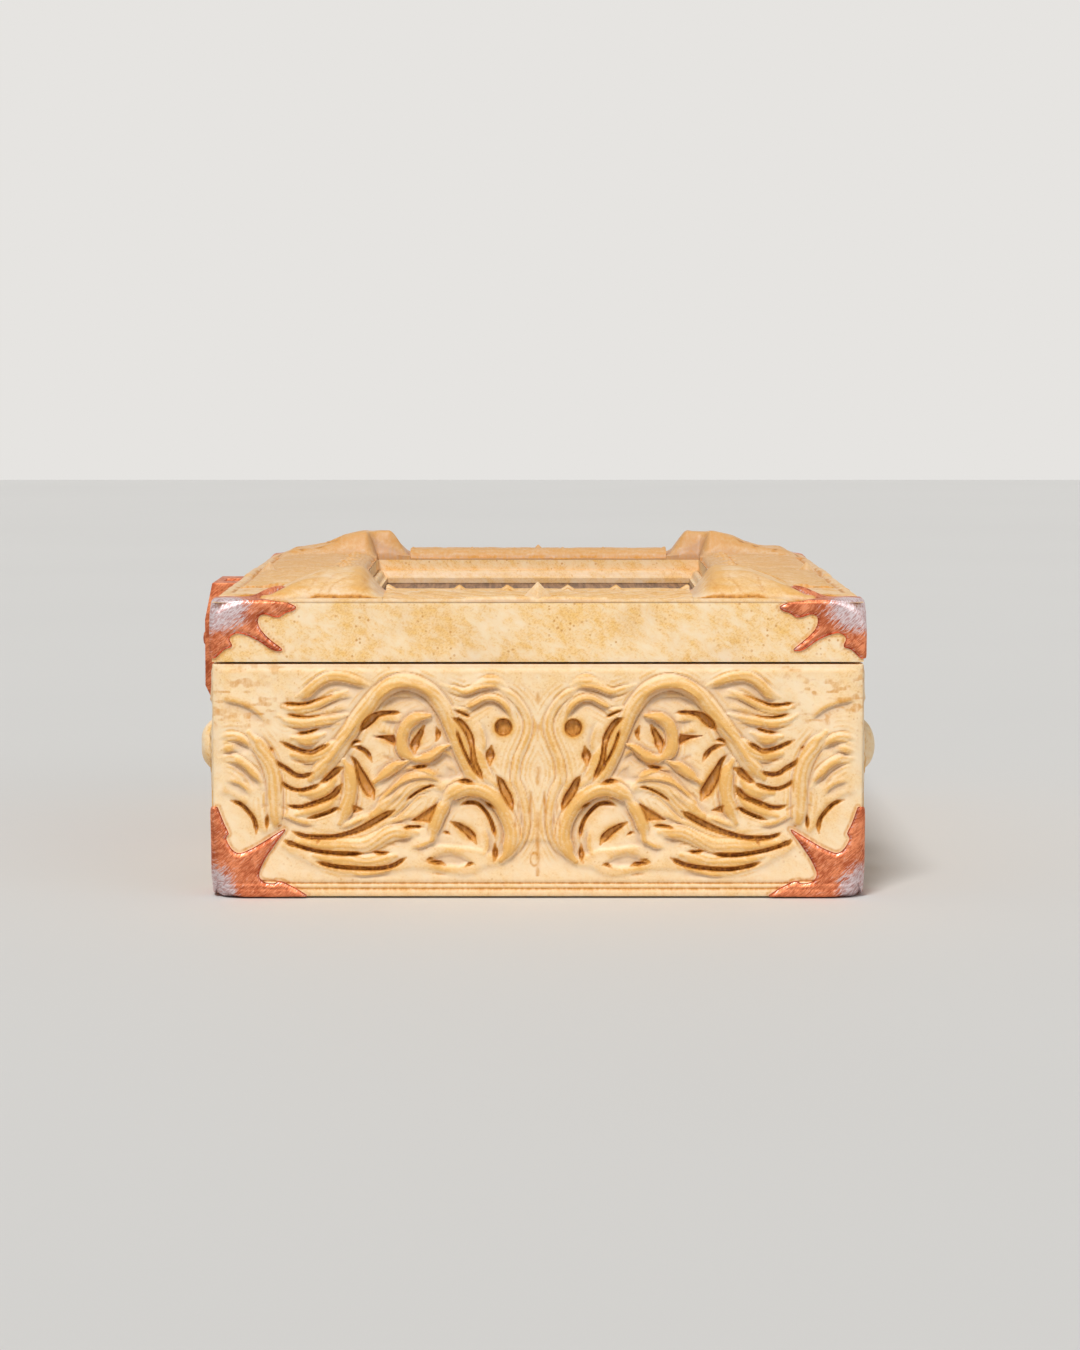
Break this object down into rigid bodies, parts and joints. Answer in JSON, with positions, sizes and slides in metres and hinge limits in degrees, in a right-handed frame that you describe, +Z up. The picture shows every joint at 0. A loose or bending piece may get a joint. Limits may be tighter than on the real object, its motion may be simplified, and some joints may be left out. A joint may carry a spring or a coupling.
{
  "type": "carved bone box",
  "caption": "Rectangular carved bone box with a hinged framed lid, jagged copper corner mounts, side bosses and a swinging copper hasp.",
  "frame": {"origin": "middle of the flat underside, on the surface the box stands on", "axes": "+Z up; -X the front with the hasp; +X the back with the hinges; -Y the right end, which is the carved end the picture shows; +Y the left end"},
  "size_m": [0.1672, 0.2222, 0.0753],
  "materials": {
    "bone": "satin",
    "carved_bone": "satin",
    "panel_wood": "satin",
    "felt": "matte",
    "copper": "satin",
    "steel": "satin"
  },
  "bodies": {
    "base": {"base_back_wall": "carved_bone", "base_floor": "bone", "base_front_wall": "carved_bone", "base_left_end_wall": "carved_bone", "base_lining": "felt", "base_mount_back_left": "copper", "base_mount_back_right": "copper", "base_mount_front_left": "copper", "base_mount_front_right": "copper", "base_right_end_wall": "carved_bone", "hasp_keeper": "steel", "hinge_left_base_leaf": "copper", "hinge_left_base_screw_a": "steel", "hinge_left_base_screw_b": "steel", "hinge_left_pin": "steel", "hinge_right_base_leaf": "copper", "hinge_right_base_screw_a": "steel", "hinge_right_base_screw_b": "steel", "hinge_right_pin": "steel", "side_boss_back_left": "bone", "side_boss_back_right": "bone", "side_boss_front_left": "bone", "side_boss_front_right": "bone"},
    "lid": {"hasp_bracket": "copper", "hasp_bracket_screw_a": "steel", "hasp_bracket_screw_b": "steel", "hinge_left_lid_leaf": "copper", "hinge_left_lid_screw_a": "steel", "hinge_left_lid_screw_b": "steel", "hinge_right_lid_leaf": "copper", "hinge_right_lid_screw_a": "steel", "hinge_right_lid_screw_b": "steel", "lid_back_frieze": "carved_bone", "lid_back_rail": "bone", "lid_back_stud": "bone", "lid_block_back_left": "carved_bone", "lid_block_back_right": "carved_bone", "lid_block_front_left": "carved_bone", "lid_block_front_right": "carved_bone", "lid_front_frieze": "carved_bone", "lid_front_rail": "bone", "lid_front_stud": "bone", "lid_left_end_frieze": "carved_bone", "lid_left_end_rail": "bone", "lid_left_end_stud": "bone", "lid_mount_back_left": "copper", "lid_mount_back_right": "copper", "lid_mount_front_left": "copper", "lid_mount_front_right": "copper", "lid_panel": "panel_wood", "lid_right_end_frieze": "carved_bone", "lid_right_end_rail": "bone", "lid_right_end_stud": "bone", "lid_window_bead": "bone"},
    "hasp": {"hasp": "copper", "hasp_magnet": "steel", "hasp_pin": "steel", "hasp_stud": "copper"}
  },
  "joints": [
    {"name": "lid_hinge", "type": "hinge", "parent": "base", "child": "lid", "pos_m": [0.0773, 0, 0.0547], "axis": [0, 1, 0], "range_deg": [0, 100]},
    {"name": "hasp_pivot", "type": "hinge", "parent": "lid", "child": "hasp", "pos_m": [-0.0793, 0, 0.0647], "axis": [0, 1, 0], "range_deg": [0, 100]}
  ]
}
